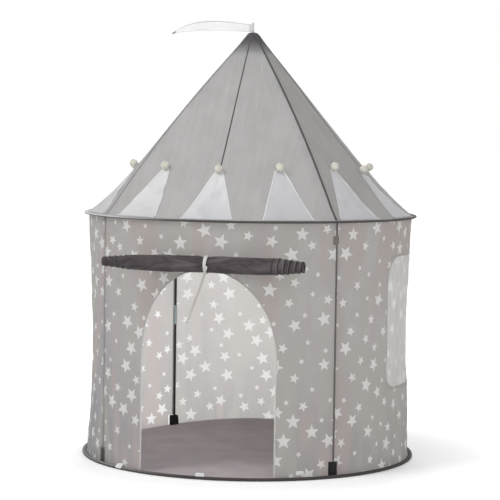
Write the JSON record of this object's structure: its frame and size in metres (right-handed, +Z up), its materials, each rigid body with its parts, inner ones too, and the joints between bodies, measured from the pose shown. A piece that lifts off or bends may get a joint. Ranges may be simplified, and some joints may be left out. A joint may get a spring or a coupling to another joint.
{
  "type": "kids play tent",
  "caption": "Round pop-up play tent with a cone roof, arched doorway with a rolled flap, netted side window, pennants round the eave and a flag on top.",
  "frame": {"origin": "centre of the floor sheet's underside, where the tent stands on the ground", "axes": "+Z up along the tent's middle, +X to the right of someone who faces the doorway from outside, +Y away from them, so that the doorway faces -Y"},
  "size_m": [1.05, 1.0974, 1.3675],
  "materials": {
    "wall_cloth": "thin warm grey woven polyester with a scattered off-white star print",
    "roof_cloth": "thin plain grey woven polyester",
    "floor_cloth": "plain dark warm grey woven cloth",
    "binding_cloth": "dark grey folded binding tape",
    "cap_cloth": "doubled grey cloth with a dark edge",
    "roll_cloth": "dark brownish grey cloth with a slight sheen",
    "white_cloth": "thin white cloth",
    "net_cloth": "fine white see-through netting",
    "tape_cloth": "off-white woven tape",
    "pocket_cloth": "black webbing",
    "pennant_cloth": "white cloth with a cream yarn ball",
    "black_rod": "black fibreglass rod",
    "black_plastic": "black moulded plastic",
    "ferrule_metal": "bare steel tube",
    "spring_wire": "spring steel wire"
  },
  "bodies": {
    "tent": {"floor_sheet": "floor_cloth", "floor_hoop_wire": "spring_wire", "floor_hoop_binding": "binding_cloth", "eave_hoop_wire": "spring_wire", "eave_hoop_binding": "binding_cloth", "wall_front": "wall_cloth", "wall_right": "wall_cloth", "wall_back": "wall_cloth", "wall_left": "wall_cloth", "window_mesh": "net_cloth", "roof_front": "roof_cloth", "roof_right": "roof_cloth", "roof_back": "roof_cloth", "roof_left": "roof_cloth", "apex_hub": "black_plastic", "apex_cap": "cap_cloth", "foot_pocket_front_right": "pocket_cloth", "wall_pole_lower_front_right": "black_rod", "pole_ferrule_front_right": "ferrule_metal", "wall_pole_upper_front_right": "black_rod", "eave_elbow_front_right": "black_plastic", "roof_pole_front_right": "black_rod", "foot_pocket_back_right": "pocket_cloth", "wall_pole_lower_back_right": "black_rod", "pole_ferrule_back_right": "ferrule_metal", "wall_pole_upper_back_right": "black_rod", "eave_elbow_back_right": "black_plastic", "roof_pole_back_right": "black_rod", "foot_pocket_back_left": "pocket_cloth", "wall_pole_lower_back_left": "black_rod", "pole_ferrule_back_left": "ferrule_metal", "wall_pole_upper_back_left": "black_rod", "eave_elbow_back_left": "black_plastic", "roof_pole_back_left": "black_rod", "foot_pocket_front_left": "pocket_cloth", "wall_pole_lower_front_left": "black_rod", "pole_ferrule_front_left": "ferrule_metal", "wall_pole_upper_front_left": "black_rod", "eave_elbow_front_left": "black_plastic", "roof_pole_front_left": "black_rod", "door_flap_header": "roll_cloth", "door_tie": "tape_cloth", "tie_tail": "tape_cloth"},
    "flap_lead": {"door_flap_lead": "roll_cloth"},
    "flap_roll": {"door_flap_roll": "roll_cloth"},
    "flag_body": {"flag": "white_cloth"},
    "pennant_00_body": {"pennant_00": "pennant_cloth"},
    "pennant_01_body": {"pennant_01": "pennant_cloth"},
    "pennant_02_body": {"pennant_02": "pennant_cloth"},
    "pennant_03_body": {"pennant_03": "pennant_cloth"},
    "pennant_04_body": {"pennant_04": "pennant_cloth"},
    "pennant_05_body": {"pennant_05": "pennant_cloth"},
    "pennant_06_body": {"pennant_06": "pennant_cloth"},
    "pennant_07_body": {"pennant_07": "pennant_cloth"},
    "pennant_08_body": {"pennant_08": "pennant_cloth"},
    "pennant_09_body": {"pennant_09": "pennant_cloth"},
    "pennant_10_body": {"pennant_10": "pennant_cloth"},
    "pennant_11_body": {"pennant_11": "pennant_cloth"},
    "pennant_12_body": {"pennant_12": "pennant_cloth"}
  },
  "joints": [
    {"name": "flap_drop", "type": "slide", "parent": "tent", "child": "flap_lead", "axis": [0, 0, -1], "range_m": [0, 0.58], "deforming": ["door_flap_header", "door_tie"]},
    {"name": "roll_spin", "type": "hinge", "parent": "flap_lead", "child": "flap_roll", "pos_m": [0, -0.5393, 0.636], "axis": [1, 0, 0], "range_deg": [0, 1440.01]},
    {"name": "flag_swivel", "type": "hinge", "parent": "tent", "child": "flag_body", "pos_m": [0, 0, 1.346], "axis": [0, 0, 1], "continuous": true},
    {"name": "pennant_lift_00", "type": "hinge", "parent": "tent", "child": "pennant_00_body", "pos_m": [0, -0.50877, 0.7654], "axis": [1, 0, 0], "range_deg": [0, 120]},
    {"name": "pennant_lift_01", "type": "hinge", "parent": "tent", "child": "pennant_01_body", "pos_m": [0.23644, -0.45049, 0.7654], "axis": [0.8855, 0.4647, 0], "range_deg": [0, 120]},
    {"name": "pennant_lift_02", "type": "hinge", "parent": "tent", "child": "pennant_02_body", "pos_m": [0.41871, -0.28901, 0.7654], "axis": [0.5681, 0.823, 0], "range_deg": [0, 120]},
    {"name": "pennant_lift_03", "type": "hinge", "parent": "tent", "child": "pennant_03_body", "pos_m": [0.50506, -0.06132, 0.7654], "axis": [0.1205, 0.9927, 0], "range_deg": [0, 120]},
    {"name": "pennant_lift_04", "type": "hinge", "parent": "tent", "child": "pennant_04_body", "pos_m": [0.47571, 0.18041, 0.7654], "axis": [-0.3546, 0.935, 0], "range_deg": [0, 120]},
    {"name": "pennant_lift_05", "type": "hinge", "parent": "tent", "child": "pennant_05_body", "pos_m": [0.33738, 0.38082, 0.7654], "axis": [-0.7485, 0.6631, 0], "range_deg": [0, 120]},
    {"name": "pennant_lift_06", "type": "hinge", "parent": "tent", "child": "pennant_06_body", "pos_m": [0.12176, 0.49399, 0.7654], "axis": [-0.9709, 0.2393, 0], "range_deg": [0, 120]},
    {"name": "pennant_lift_07", "type": "hinge", "parent": "tent", "child": "pennant_07_body", "pos_m": [-0.12176, 0.49399, 0.7654], "axis": [-0.9709, -0.2393, 0], "range_deg": [0, 120]},
    {"name": "pennant_lift_08", "type": "hinge", "parent": "tent", "child": "pennant_08_body", "pos_m": [-0.33738, 0.38082, 0.7654], "axis": [-0.7485, -0.6631, 0], "range_deg": [0, 120]},
    {"name": "pennant_lift_09", "type": "hinge", "parent": "tent", "child": "pennant_09_body", "pos_m": [-0.47571, 0.18041, 0.7654], "axis": [-0.3546, -0.935, 0], "range_deg": [0, 120]},
    {"name": "pennant_lift_10", "type": "hinge", "parent": "tent", "child": "pennant_10_body", "pos_m": [-0.50506, -0.06132, 0.7654], "axis": [0.1205, -0.9927, 0], "range_deg": [0, 120]},
    {"name": "pennant_lift_11", "type": "hinge", "parent": "tent", "child": "pennant_11_body", "pos_m": [-0.41871, -0.28901, 0.7654], "axis": [0.5681, -0.823, 0], "range_deg": [0, 120]},
    {"name": "pennant_lift_12", "type": "hinge", "parent": "tent", "child": "pennant_12_body", "pos_m": [-0.23644, -0.45049, 0.7654], "axis": [0.8855, -0.4647, 0], "range_deg": [0, 120]}
  ],
  "couplings": [
    {"joint": "roll_spin", "follows": "flap_drop", "rad_per_m": 43.332}
  ]
}
